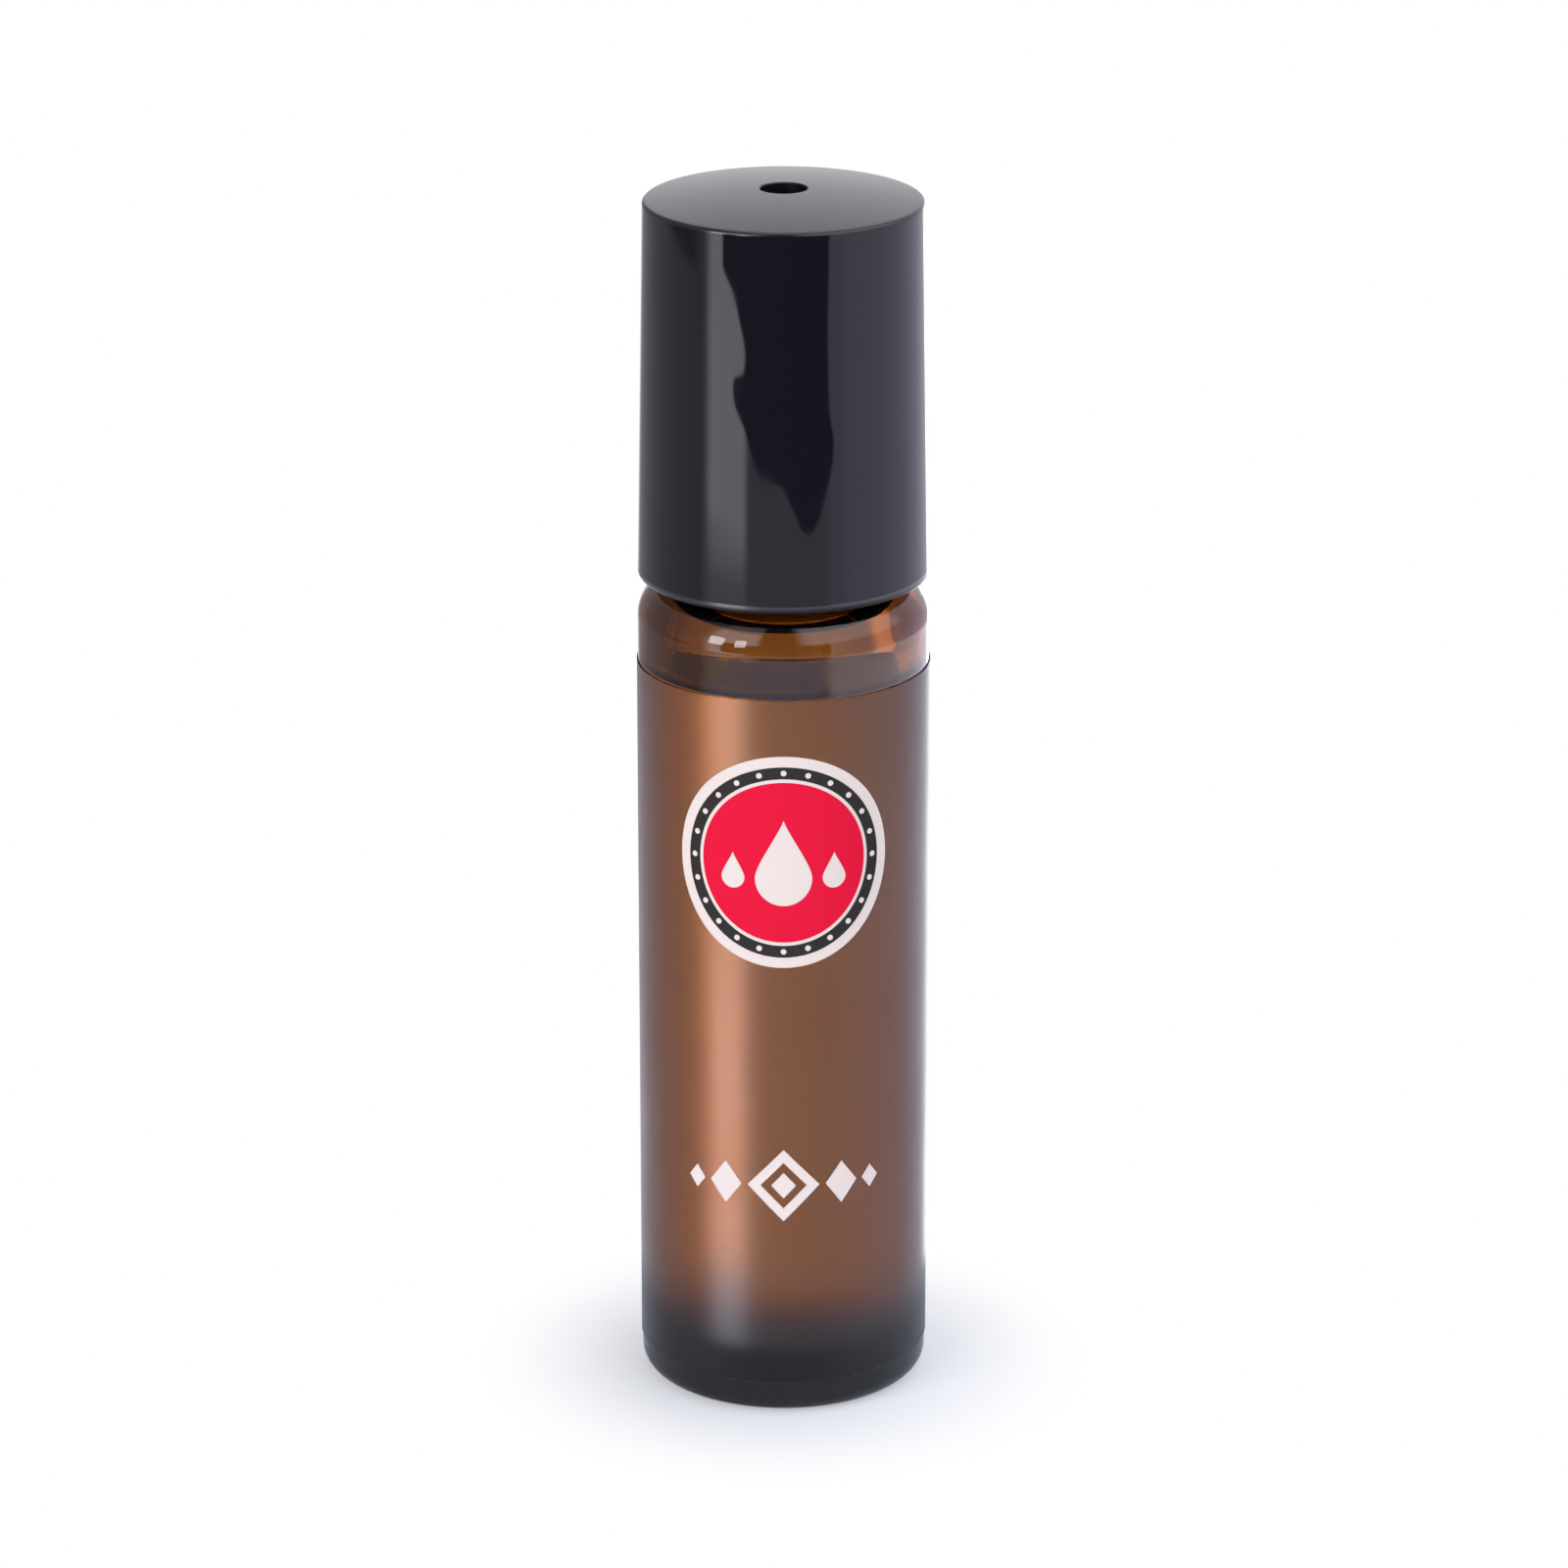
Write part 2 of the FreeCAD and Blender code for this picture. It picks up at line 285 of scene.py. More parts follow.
# The faces that glue or oil touches are told by their height and their distance from the axis: a
# face nearer the axis than the middle of the wall is an inner one
axes = add(tree, "ShaderNodeSeparateXYZ", {}, {"Vector": place})
flat_place = add(tree, "ShaderNodeVectorMath", {"operation": "MULTIPLY"}, {0: place, 1: (1, 1, 0)})
off_axis = add(tree, "ShaderNodeVectorMath", {"operation": "LENGTH"}, {0: flat_place.outputs[0]})
over_foot = add(
    tree, "ShaderNodeMath", {"operation": "GREATER_THAN"}, {0: axes.outputs["Z"], 1: label_foot}
)
under_top = add(
    tree, "ShaderNodeMath", {"operation": "LESS_THAN"}, {0: axes.outputs["Z"], 1: label_top}
)
in_wall = add(
    tree, "ShaderNodeMath", {"operation": "GREATER_THAN"},
    {0: off_axis.outputs["Value"], 1: cavity_radius + body_wall / 2},
)
beside_label = add(
    tree, "ShaderNodeMath", {"operation": "MULTIPLY"},
    {0: over_foot.outputs[0], 1: under_top.outputs[0]},
)
glued = add(
    tree, "ShaderNodeMath", {"operation": "MULTIPLY"},
    {0: beside_label.outputs[0], 1: in_wall.outputs[0]},
)
under_oil = add(
    tree, "ShaderNodeMath", {"operation": "LESS_THAN"}, {0: axes.outputs["Z"], 1: meniscus_top}
)
over_floor = add(
    tree, "ShaderNodeMath", {"operation": "GREATER_THAN"},
    {0: axes.outputs["Z"], 1: base_thickness - same_place},
)
in_cavity = add(
    tree, "ShaderNodeMath", {"operation": "SUBTRACT"}, {0: over_floor.outputs[0], 1: in_wall.outputs[0]}
)
wetted = add(
    tree, "ShaderNodeMath", {"operation": "MULTIPLY", "use_clamp": True},
    {0: in_cavity.outputs[0], 1: under_oil.outputs[0]},
)
index = add(
    tree, "ShaderNodeMix", {"data_type": "FLOAT"},
    {"Factor": glued.outputs[0], "A": glass_index, "B": glass_index / film_index},
)
index = add(
    tree, "ShaderNodeMix", {"data_type": "FLOAT"},
    {"Factor": wetted.outputs[0], "A": index.outputs["Result"], "B": glass_index / oil_index},
)
surface = add(tree, "ShaderNodeBsdfPrincipled", {}, {
    "Base Color": (1, 1, 1, 1),
    "Roughness": 0.0,
    "IOR": index.outputs["Result"],
    "Transmission Weight": 1.0,
    "Normal": bump.outputs["Normal"],
})
# What the glass takes out of red, green and blue light in each millimetre
glass_absorption = (0.39, 0.65, 1.15)
glass_density = 1.5
inside = add(tree, "ShaderNodeVolumeAbsorption", {}, {
    "Color": [1 - loss / glass_density for loss in glass_absorption] + [1],
    "Density": glass_density / mm,
})
add(tree, "ShaderNodeOutputMaterial", {}, {
    "Surface": surface.outputs["BSDF"], "Volume": inside.outputs["Volume"],
})
glass.data.materials.append(amber_glass)
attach(glass, "bottle")
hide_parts("glass_bottle")

# The oil
# A clear pale yellow carrier oil that fills the bottle to just under the shoulder and climbs the
# glass a little at its edge. Its side reaches a hair into the glass, so that no air shows between.
oil_level_drop = 0.7 * mm
meniscus_width = 1.1 * mm
wetting = 0.05 * mm
oil_level = meniscus_top - oil_level_drop
meniscus_steps = 12
meniscus = []
for step in range(meniscus_steps + 1):
    turn = math.radians(90) * step / meniscus_steps
    meniscus.append(
        point(
            cavity_radius - meniscus_width * (1 - math.cos(turn)),
            meniscus_top - oil_level_drop * math.sin(turn),
        )
    )
oil_section = (
    [point(0, base_thickness - wetting)]
    + arc(floor_corner_centre, floor_corner_radius + wetting, -90, 0, 12)
    + [
        point(cavity_radius + wetting, floor_corner_centre.z + ring_gap),
        point(cavity_radius + wetting, meniscus_top),
    ]
    + meniscus
    + [point(0, oil_level)]
)
oil = turned("carrier_oil", oil_section)
smooth(oil)

# Carrier oil: clear, with a faint yellow that only shows through its whole depth. Where it meets
# the glass, the glass alone bends the light. Its absorption is for each metre.
no_bend_index = 1.0001
oil_liquid, tree = new_material("carrier oil")
place = add(tree, "ShaderNodeTexCoord").outputs["Object"]
axes = add(tree, "ShaderNodeSeparateXYZ", {}, {"Vector": place})
free = add(
    tree, "ShaderNodeMath", {"operation": "GREATER_THAN"},
    {0: axes.outputs["Z"], 1: oil_level - same_place},
)
index = add(
    tree, "ShaderNodeMix", {"data_type": "FLOAT"},
    {"Factor": free.outputs[0], "A": no_bend_index, "B": oil_index},
)
surface = add(tree, "ShaderNodeBsdfPrincipled", {}, {
    "Base Color": (1, 1, 1, 1),
    "Roughness": 0.0,
    "IOR": index.outputs["Result"],
    "Transmission Weight": 1.0,
})
oil_density = 25
inside = add(tree, "ShaderNodeVolumeAbsorption", {}, {
    "Color": (0.87, 0.74, 0.1, 1), "Density": oil_density,
})
add(tree, "ShaderNodeOutputMaterial", {}, {
    "Surface": surface.outputs["BSDF"], "Volume": inside.outputs["Volume"],
})
oil.data.materials.append(oil_liquid)
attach(oil, "bottle")
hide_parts("oil_fill")

# The wrap label
# A clear polypropylene film with a satin face, glued once round the straight wall and lapped
# over itself at the back. Its inner face reaches a hair into the glass, as glue leaves no air.
film_thickness = 0.08 * mm
label_radius = body_radius + film_thickness
film_bond = 0.02 * mm
lap_start = 90
lap_width = 3.0 * mm
lap_end = lap_start + math.degrees(lap_width / label_radius)
film_edge = 0.02 * mm
film_section = [
    point(body_radius - film_bond, label_foot),
    point(label_radius - film_edge, label_foot),
    point(label_radius, label_foot + film_edge),
    point(label_radius, label_top - film_edge),
    point(label_radius - film_edge, label_top),
    point(body_radius - film_bond, label_top),
    point(body_radius - film_bond, label_foot),
]
label = turned("satin_wrap_label", film_section)


def choose_faces(piece, wanted):
    """Goes into edit mode with only the faces selected that the test wants."""
    bpy.ops.object.select_all(action="DESELECT")
    bpy.context.view_layer.objects.active = piece
    piece.select_set(True)
    bpy.ops.object.mode_set(mode="EDIT")
    bpy.ops.mesh.select_mode(type="FACE")
    bpy.ops.mesh.select_all(action="DESELECT")
    bpy.ops.object.mode_set(mode="OBJECT")
    for face in piece.data.polygons:
        face.select = wanted(face)
    bpy.ops.object.mode_set(mode="EDIT")


def in_lap(face):
    """Whether a face is on the film's outside, in the strip where its end laps over."""
    centre = face.center
    azimuth = math.degrees(math.atan2(centre.y, centre.x))
    outside = centre.xy.length > body_radius
    outward = face.normal.xy.length > 0.5 and face.normal.xy.dot(centre.xy) > 0
    return outside and outward and lap_start < azimuth < lap_end


choose_faces(label, in_lap)
bpy.ops.mesh.extrude_region_move()
lap_growth = (label_radius + film_thickness) / label_radius
bpy.ops.transform.resize(value=(lap_growth, lap_growth, 1), center_override=(0, 0, 0))
bpy.ops.mesh.select_mode(type="VERT")
bpy.ops.object.mode_set(mode="OBJECT")
smooth(label)

# Satin polypropylene film: a fine matt grain on its face blurs what lies under it and spreads
# the light that falls on it; the glued face is clear.
satin_film, tree = new_material("satin polypropylene film")
place = add(tree, "ShaderNodeTexCoord").outputs["Object"]
# The real grain is a few hundredths of a millimetre; it is drawn coarser, to show at all
grain_size = 0.25 * mm
grain_height = 0.0015 * mm
grain = add(tree, "ShaderNodeTexNoise", {}, {"Vector": place, "Scale": 1 / grain_size, "Detail": 2})
bump = add(tree, "ShaderNodeBump", {}, {"Height": grain.outputs["Fac"], "Distance": grain_height})
handling_size = 9 * mm
handling = add(tree, "ShaderNodeTexNoise", {}, {
    "Vector": place, "Scale": 1 / handling_size, "Detail": 3,
})
film_roughness = add(tree, "ShaderNodeMapRange", {}, {
    "Value": handling.outputs["Fac"], "From Min": 0.3, "From Max": 0.7, "To Min": 0.29, "To Max": 0.34,
})
clear_part = add(tree, "ShaderNodeBsdfPrincipled", {}, {
    "Base Color": (1, 1, 1, 1),
    "Roughness": film_roughness.outputs["Result"],
    "IOR": film_index,
    "Transmission Weight": 1.0,
    "Normal": bump.outputs["Normal"],
})
add(tree, "ShaderNodeOutputMaterial", {}, {"Surface": clear_part.outputs["BSDF"]})
label.data.materials.append(satin_film)

film_glue, tree = new_material("clear film adhesive")
surface = add(tree, "ShaderNodeBsdfPrincipled", {}, {
    "Base Color": (1, 1, 1, 1),
    "Roughness": 0.0,
    "IOR": no_bend_index,
    "Transmission Weight": 1.0,
})
add(tree, "ShaderNodeOutputMaterial", {}, {"Surface": surface.outputs["BSDF"]})
label.data.materials.append(film_glue)
# The glue slot also takes the film's cut edges, which the glue rounds over
for face in label.data.polygons:
    face.material_index = int(face.center.xy.length < body_radius or abs(face.normal.z) > 0.5)
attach(label, "bottle")
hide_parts("wrap_label")

# The print
# Screen-printed inks on the film's front: a round medallion with three drops of oil in a beaded
# band, and under it a row of lozenges. Each ink is a thin coat, drawn flat and wrapped on.
coat = 0.012 * mm
medallion_height = 41.0 * mm
medallion_radius = 7.6 * mm
steps_in_circle = 96
largest_step = 0.5 * mm


def flat_shape(name, half_width, half_height, sides, hole_share=0):
    """A flat round or lozenge-shaped sheet that faces the front, whole or with a hole like it."""
    bpy.ops.object.select_all(action="DESELECT")
    bpy.ops.mesh.primitive_circle_add(
        vertices=sides, radius=1, rotation=(math.radians(90), 0, 0),
        fill_type="NOTHING" if hole_share else "TRIFAN",
    )
    piece = bpy.context.object
    piece.name = name
    piece.data.name = name
    bpy.ops.object.transform_apply(rotation=True)
    bpy.ops.object.mode_set(mode="EDIT")
    bpy.ops.mesh.select_all(action="SELECT")
    bpy.ops.transform.resize(value=(half_width, 1, half_height), center_override=(0, 0, 0))
    span = max(half_width, half_height)
    if hole_share:
        loops = math.ceil(span * (1 - hole_share) / largest_step)
        reach = 1
        for loop in range(loops):
            smaller = 1 - (1 - hole_share) * (loop + 1) / loops
            bpy.ops.mesh.extrude_edges_move()
            bpy.ops.transform.resize(value=(smaller / reach,) * 3, center_override=(0, 0, 0))
            reach = smaller
        if sides < steps_in_circle:
            bpy.ops.mesh.select_all(action="SELECT")
            bpy.ops.mesh.subdivide(number_cuts=math.ceil(span / largest_step))
    else:
        bpy.ops.mesh.subdivide(number_cuts=math.ceil(span / largest_step))
    bpy.ops.mesh.select_all(action="SELECT")
    bpy.ops.mesh.normals_make_consistent(inside=False)
    bpy.ops.object.mode_set(mode="OBJECT")
    if piece.data.polygons[0].normal.y > 0:
        bpy.ops.object.mode_set(mode="EDIT")
        bpy.ops.mesh.flip_normals()
        bpy.ops.object.mode_set(mode="OBJECT")
    return piece


def shift(piece, across, up):
    """Moves a flat shape's points across the label's front and up it."""
    for vertex in piece.data.vertices:
        vertex.co.x += across
        vertex.co.z += up


def ink_coat(name, shapes, layer, ink):
    """Joins flat shapes, wraps them on the film and gives them the thickness of one coat."""
    bpy.ops.object.select_all(action="DESELECT")
    for shape in shapes:
        shape.select_set(True)
    bpy.context.view_layer.objects.active = shapes[0]
    if len(shapes) > 1:
        bpy.ops.object.join()
    piece = bpy.context.object
    piece.name = name
    piece.data.name = name
    inner_radius = label_radius + coat * (layer - 1)
    for vertex in piece.data.vertices:
        turn = vertex.co.x / label_radius
        vertex.co.x = inner_radius * math.sin(turn)
        vertex.co.y = -inner_radius * math.cos(turn)
    thick = piece.modifiers.new("coat", "SOLIDIFY")
    thick.thickness = 2 * coat
    thick.offset = 1
    bpy.ops.object.modifier_apply(modifier=thick.name)
    smooth(piece)
    piece.data.materials.append(ink)
    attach(piece, "bottle")
    return piece


def screen_ink(name, hex_code, pale_share):
    """Opaque matt UV ink, with the faint unevenness of a printed coat."""
    material, tree = new_material(name)
    place = add(tree, "ShaderNodeTexCoord").outputs["Object"]
    mottle_size = 0.6 * mm
    mottle = add(tree, "ShaderNodeTexNoise", {}, {
        "Vector": place, "Scale": 1 / mottle_size, "Detail": 3,
    })
    full = colour(hex_code)
    thin = [part + (1 - part) * pale_share for part in full]
    cover = add(tree, "ShaderNodeMix", {"data_type": "RGBA"}, {
        "Factor": mottle.outputs["Fac"], "A": full, "B": thin,
    })
    ridges = add(tree, "ShaderNodeBump", {}, {
        "Height": mottle.outputs["Fac"], "Distance": 0.002 * mm,
    })
    surface = add(tree, "ShaderNodeBsdfPrincipled", {}, {
        "Base Color": cover.outputs["Result"],
        "Roughness": 0.6,
        "IOR": 1.5,
        "Specular IOR Level": 0.0,
        "Normal": ridges.outputs["Normal"],
    })
    add(tree, "ShaderNodeOutputMaterial", {}, {"Surface": surface.outputs["BSDF"]})
    return material


white_ink = screen_ink("off-white screen ink", "D6CBC3", 0.03)
crimson_ink = screen_ink("crimson screen ink", "D41B39", 0.0)
charcoal_ink = screen_ink("charcoal screen ink", "2E2B2A", 0.01)

# Radii of the medallion's bands, from the middle outwards
field_radius = 5.75 * mm
hairline_radius = 6.0 * mm
band_radius = 6.85 * mm
underprint = flat_shape("medallion_underprint", medallion_radius, medallion_radius, steps_in_circle)
shift(underprint, 0, medallion_height)
ink_coat("print_white_underlay", [underprint], 1, white_ink)

field = flat_shape("medallion_field", field_radius, field_radius, steps_in_circle)
shift(field, 0, medallion_height)
ink_coat("print_crimson_field", [field], 2, crimson_ink)

band = flat_shape(
    "medallion_band", band_radius, band_radius, steps_in_circle, hairline_radius / band_radius
)
shift(band, 0, medallion_height)
ink_coat("print_charcoal_band", [band], 2, charcoal_ink)

# One large drop between two small ones, and a ring of beads on the band. The upper half of a
# drop is stretched so many times, and a lower sharpness makes it fuller.
drop_radius = 1.95 * mm
drop_stretch = 2.15
drop_sharpness = 0.7


def drop(name, radius, across, up):
    """A drop: a disc whose upper half is drawn up and narrowed to a point."""
    piece = flat_shape(name, radius, radius, steps_in_circle)
    for vertex in piece.data.vertices:
        rise = vertex.co.z / radius
        if rise > 0:
            vertex.co.x *= max(0, 1 - rise ** 2) ** drop_sharpness
            vertex.co.z *= 1 + (drop_stretch - 1) * rise
    shift(piece, across, up)
    return piece


small_drop_share = 0.42
small_drop_across = 3.5 * mm
motif_drop = 1.15 * mm
motif_height = medallion_height - motif_drop
small_radius = drop_radius * small_drop_share
motif = [drop("drop_middle", drop_radius, 0, motif_height)]
for side in (-1, 1):
    motif.append(drop("drop_side", small_radius, side * small_drop_across, motif_height))
bead_count = 24
bead_radius = 0.2 * mm
steps_in_bead = 16
bead_circle = (hairline_radius + band_radius) / 2
for bead in range(bead_count):
    turn = math.tau * bead / bead_count
    disc = flat_shape("band_bead", bead_radius, bead_radius, steps_in_bead)
    shift(disc, bead_circle * math.sin(turn), medallion_height + bead_circle * math.cos(turn))
    motif.append(disc)
ink_coat("print_white_motif", motif, 3, white_ink)

# A row of lozenges: an open one with a small one in it, and on each side two that get smaller.
# Each has its distance from the middle, its half width and its half height.
row_height = 17.35 * mm
ring_half_width = 2.5 * mm
ring_half_height = 2.65 * mm
ring_hole_share = 0.64
row = [flat_shape("lozenge_ring", ring_half_width, ring_half_height, 4, ring_hole_share)]
lozenges = [
    (0, 0.85 * mm, 0.95 * mm),
    (4.1 * mm, 1.15 * mm, 1.55 * mm),
    (6.35 * mm, 0.65 * mm, 0.85 * mm),
]
for across, half_width, half_height in lozenges:
    for side in (-1, 1) if across else (1,):
        lozenge = flat_shape("lozenge", half_width, half_height, 4)
        shift(lozenge, side * across, 0)
        row.append(lozenge)
for shape in row:
    shift(shape, 0, row_height)
ink_coat("print_white_row", row, 1, white_ink)

# The roller housing
# A plug of natural low-density polyethylene, moulded and pressed into the neck. It is milky and
# a little waxy, and light goes a short way into it.
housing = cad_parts["roller_housing"]
natural_polyethylene, tree = new_material("natural polyethylene, moulded")
place = add(tree, "ShaderNodeTexCoord").outputs["Object"]
wax_size = 1.2 * mm
wax = add(tree, "ShaderNodeTexNoise", {}, {"Vector": place, "Scale": 1 / wax_size, "Detail": 3})
wax_roughness = add(tree, "ShaderNodeMapRange", {}, {
    "Value": wax.outputs["Fac"], "From Min": 0.3, "From Max": 0.7, "To Min": 0.3, "To Max": 0.42,
})
wax_bump = add(tree, "ShaderNodeBump", {}, {"Height": wax.outputs["Fac"], "Distance": 0.008 * mm})
surface = add(tree, "ShaderNodeBsdfPrincipled", {}, {
    "Base Color": colour("D2D1C9"),
    "Roughness": wax_roughness.outputs["Result"],
    "IOR": 1.51,
    "Subsurface Weight": 0.6,
    "Subsurface Radius": (1.0, 0.9, 0.75),
    "Subsurface Scale": 0.8 * mm,
    "Normal": wax_bump.outputs["Normal"],
})
add(tree, "ShaderNodeOutputMaterial", {}, {"Surface": surface.outputs["BSDF"]})
housing.data.materials.clear()
housing.data.materials.append(natural_polyethylene)

# The roller ball
# A polished ball of stainless steel that turns freely in the housing's socket. It is spun from a
# half circle, from its foot to its top.
ball_foot, ball_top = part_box("roller_ball")
ball_radius = (ball_top.z - ball_foot.z) / 2
ball_centre = point(0, ball_foot.z + ball_radius)
ball = turned("steel_ball", arc(ball_centre, ball_radius, -90, 90, 96))
smooth(ball)

# Polished stainless steel: a mirror with a soft edge, and hairlines from rolling
polished_steel, tree = new_material("polished stainless steel")
place = add(tree, "ShaderNodeTexCoord").outputs["Object"]
hairline_size = 0.35 * mm
stretched = add(tree, "ShaderNodeMapping", {}, {"Vector": place, "Scale": (0.15, 1, 1)})
hairlines = add(tree, "ShaderNodeTexNoise", {}, {
    "Vector": stretched.outputs["Vector"], "Scale": 1 / hairline_size, "Detail": 4,
})
steel_roughness = add(tree, "ShaderNodeMapRange", {}, {
    "Value": hairlines.outputs["Fac"], "From Min": 0.35, "From Max": 0.75,
    "To Min": 0.04, "To Max": 0.12,
})
surface = add(tree, "ShaderNodeBsdfPrincipled", {}, {
    "Base Color": colour("D2D1CF"),
    "Metallic": 1.0,
    "Roughness": steel_roughness.outputs["Result"],
})
add(tree, "ShaderNodeOutputMaterial", {}, {"Surface": surface.outputs["BSDF"]})
ball.data.materials.append(polished_steel)
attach(ball, "ball")
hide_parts("roller_ball")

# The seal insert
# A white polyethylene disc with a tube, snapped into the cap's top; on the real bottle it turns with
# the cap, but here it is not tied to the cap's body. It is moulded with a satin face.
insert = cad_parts["seal_insert"]
white_polyethylene, tree = new_material("white polyethylene, satin")
place = add(tree, "ShaderNodeTexCoord").outputs["Object"]
satin_size = 0.3 * mm
satin = add(tree, "ShaderNodeTexNoise", {}, {"Vector": place, "Scale": 1 / satin_size, "Detail": 2})
satin_bump = add(tree, "ShaderNodeBump", {}, {"Height": satin.outputs["Fac"], "Distance": 0.004 * mm})
surface = add(tree, "ShaderNodeBsdfPrincipled", {}, {
    "Base Color": colour("DADAD6"),
    "Roughness": 0.45,
    "IOR": 1.51,
    "Subsurface Weight": 0.3,
    "Subsurface Radius": (1.0, 0.95, 0.9),
    "Subsurface Scale": 0.5 * mm,
    "Normal": satin_bump.outputs["Normal"],
})
add(tree, "ShaderNodeOutputMaterial", {}, {"Surface": surface.outputs["BSDF"]})
insert.data.materials.clear()
insert.data.materials.append(white_polyethylene)

# The screw cap
# Black polypropylene, injection moulded: a glossy skirt with a slight taper and a low domed top
# that is finely satin, with the recess of its gate in the middle. The thread is inside.
cap_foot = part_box("cap_shell")[0].z
cap_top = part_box("cap_shell")[1].z
cap_foot_set_in = 0.03 * mm
cap_taper = 0.44 * mm
cap_dome_rise = 0.82 * mm
cap_rim_radius = 0.3 * mm
cap_foot_radius = 0.4 * mm
cap_crown_thickness = 1.75 * mm
cap_bore_step = 0.5 * mm
cap_thread_bore_depth = 8.0 * mm
cap_thread_clearance = 0.2 * mm
gate_radius = 1.6 * mm
gate_depth = 1.1 * mm
gate_edge = 0.08 * mm
gate_stub_radius = 0.45 * mm
gate_stub_height = 0.35 * mm
bead_depth = 0.3 * mm
bead_width = 0.7 * mm
foot_radius = body_radius - cap_foot_set_in
rim_radius = foot_radius - cap_taper
dome_curve = (rim_radius ** 2 + cap_dome_rise ** 2) / (2 * cap_dome_rise)
dome_sag_at_gate = dome_curve - math.sqrt(dome_curve ** 2 - gate_radius ** 2)
dome_top = cap_top + dome_sag_at_gate
dome_centre = point(0, dome_top - dome_curve)
cap_ceiling = dome_top - cap_dome_rise - cap_crown_thickness
thread_bore_radius = neck_radius + thread_depth + cap_thread_clearance
upper_bore_radius = thread_bore_radius - cap_bore_step
thread_bore_top = cap_foot + cap_thread_bore_depth
insert_disc_thickness = 1.5 * mm
bead_clearance = 0.1 * mm
insert_disc_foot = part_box("seal_insert")[1].z - insert_disc_thickness
bead_top = insert_disc_foot - bead_clearance


def dome_angle(radius):
    """The angle on the dome's circle, in degrees, of a place that far from the axis."""
    return math.degrees(math.acos(radius / dome_curve))


# The rim's round edge touches the dome and the skirt
rim_centre_radius = rim_radius - cap_rim_radius
rim_turn = math.degrees(math.acos(rim_centre_radius / (dome_curve - cap_rim_radius)))
rim_centre = dome_centre + point(
    rim_centre_radius, (dome_curve - cap_rim_radius) * math.sin(math.radians(rim_turn))
)
gate_floor = dome_top - gate_depth
skirt_top = point(rim_radius, rim_centre.z)
skirt_foot = point(foot_radius, cap_foot + cap_foot_radius)
skirt_ring_share = ring_gap / (skirt_top.z - skirt_foot.z)
# The low bead in the bore that the insert snaps over
bead_steps = 8
snap_bead = []
for step in range(bead_steps + 1):
    snap_bead.append(
        point(
            upper_bore_radius - bead_depth * math.sin(math.pi * step / bead_steps),
            bead_top - bead_width * (1 - step / bead_steps),
        )
    )
cap_section = (
    [
        point(0, gate_floor + gate_stub_height),
        point(gate_stub_radius, gate_floor + gate_stub_height),
        point(gate_stub_radius, gate_floor),
        point(gate_radius, gate_floor),
        point(gate_radius, cap_top - gate_edge),
    ]
    + arc(dome_centre, dome_curve, dome_angle(gate_radius + gate_edge), rim_turn, 24)
    + arc(rim_centre, cap_rim_radius, rim_turn, 0, 8)[1:]
    + [
        skirt_top.lerp(skirt_foot, skirt_ring_share),
        skirt_foot.lerp(skirt_top, skirt_ring_share),
    ]
    + arc(skirt_foot - point(cap_foot_radius, 0), cap_foot_radius, 0, -90, 8)
    + [
        point(thread_bore_radius, cap_foot),
        point(thread_bore_radius, thread_bore_top),
        point(upper_bore_radius, thread_bore_top + cap_bore_step),
    ]
    + snap_bead
    + [point(upper_bore_radius, cap_ceiling), point(0, cap_ceiling)]
)
cap = turned("black_screw_cap", cap_section)
bore_flank_share = (thread_depth - cap_thread_clearance) / thread_depth
bore_taper = (thread_root_width - thread_crest_width) * bore_flank_share
ridge_drop = thread_root_width - bore_taper / 2 + cap_thread_clearance
join_solid(
    cap, thread_ridge("cap_thread", thread_bore_radius, -1, shoulder_top + thread_rise - ridge_drop)
)
smooth(cap)

# Black polypropylene: the skirt from a polished mould, with the faint waves of its shrinkage and
# a few rubbed marks, and the top and the foot's edge from a finely blasted one
black_polypropylene, tree = new_material("black polypropylene, moulded")
place = add(tree, "ShaderNodeTexCoord").outputs["Object"]
axes = add(tree, "ShaderNodeSeparateXYZ", {}, {"Vector": place})
# The satin begins on the rim's round edge, between these two shares of the edge's radius
satin_start_share = -0.2
satin_full_share = 0.6
satin_roughness = 0.28
on_top = add(tree, "ShaderNodeMapRange", {"interpolation_type": "SMOOTHSTEP"}, {
    "Value": axes.outputs["Z"], "From Min": rim_centre.z + cap_rim_radius * satin_start_share,
    "From Max": rim_centre.z + cap_rim_radius * satin_full_share,
})
at_foot = add(tree, "ShaderNodeMapRange", {"interpolation_type": "SMOOTHSTEP"}, {
    "Value": axes.outputs["Z"], "From Min": skirt_foot.z + ring_gap, "From Max": skirt_foot.z,
})
dull = add(tree, "ShaderNodeMath", {"operation": "MAXIMUM"}, {
    0: on_top.outputs["Result"], 1: at_foot.outputs["Result"],
})
shrink_length = 7 * mm
shrink = add(tree, "ShaderNodeTexNoise", {}, {"Vector": place, "Scale": 1 / shrink_length, "Detail": 1})
blast_size = 0.18 * mm
blast = add(tree, "ShaderNodeTexNoise", {}, {"Vector": place, "Scale": 1 / blast_size, "Detail": 2})
blast_height = add(tree, "ShaderNodeMath", {"operation": "MULTIPLY"}, {
    0: blast.outputs["Fac"], 1: on_top.outputs["Result"],
})
shrink_bump = add(tree, "ShaderNodeBump", {}, {"Height": shrink.outputs["Fac"], "Distance": 0.006 * mm})
blast_bump = add(tree, "ShaderNodeBump", {}, {
    "Height": blast_height.outputs[0], "Distance": 0.004 * mm, "Normal": shrink_bump.outputs["Normal"],
})
rub_size = 2.5 * mm
rubbed = add(tree, "ShaderNodeTexNoise", {}, {"Vector": place, "Scale": 1 / rub_size, "Detail": 5})
